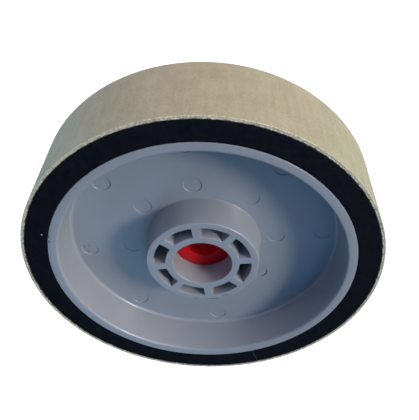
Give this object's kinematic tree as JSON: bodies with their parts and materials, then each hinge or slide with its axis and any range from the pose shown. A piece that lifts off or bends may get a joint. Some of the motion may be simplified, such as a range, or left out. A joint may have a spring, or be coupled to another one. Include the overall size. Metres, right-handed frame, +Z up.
{
  "type": "soft diamond grinding wheel",
  "caption": "Soft resin diamond wheel: moulded plastic core, foam cushion, cloth-backed diamond belt and a push-in reducing bushing in the bore.",
  "frame": {"origin": "centre of the wheel, on its axle, half way between the two faces", "axes": "+Y along the axle towards the far face, which the bushing is pushed in from; +Z up; the near face looks along -Y"},
  "size_m": [0.1524, 0.0382, 0.1524],
  "materials": {
    "core_plastic": "satin moulded blue-grey ABS",
    "adhesive": "dried contact cement",
    "foam": "matte closed-cell foam with cut faces",
    "tape_film": "thin polyester splicing tape",
    "backing_cloth": "woven cotton and polyester cloth with a frayed cut edge",
    "diamond_resin": "tan resin coat with fine diamond grit",
    "bushing_plastic": "red moulded plastic"
  },
  "bodies": {
    "wheel": {"wheel_core": "core_plastic", "core_adhesive": "adhesive", "foam_cushion": "foam", "belt_adhesive": "adhesive", "splice_tape": "tape_film", "belt_backing": "backing_cloth", "abrasive_coat": "diamond_resin"},
    "bushing": {"arbor_bushing": "bushing_plastic"}
  },
  "joints": [
    {"name": "bushing_slide", "type": "slide", "parent": "wheel", "child": "bushing", "axis": [0, 1, 0], "range_m": [0, 0.045]}
  ]
}
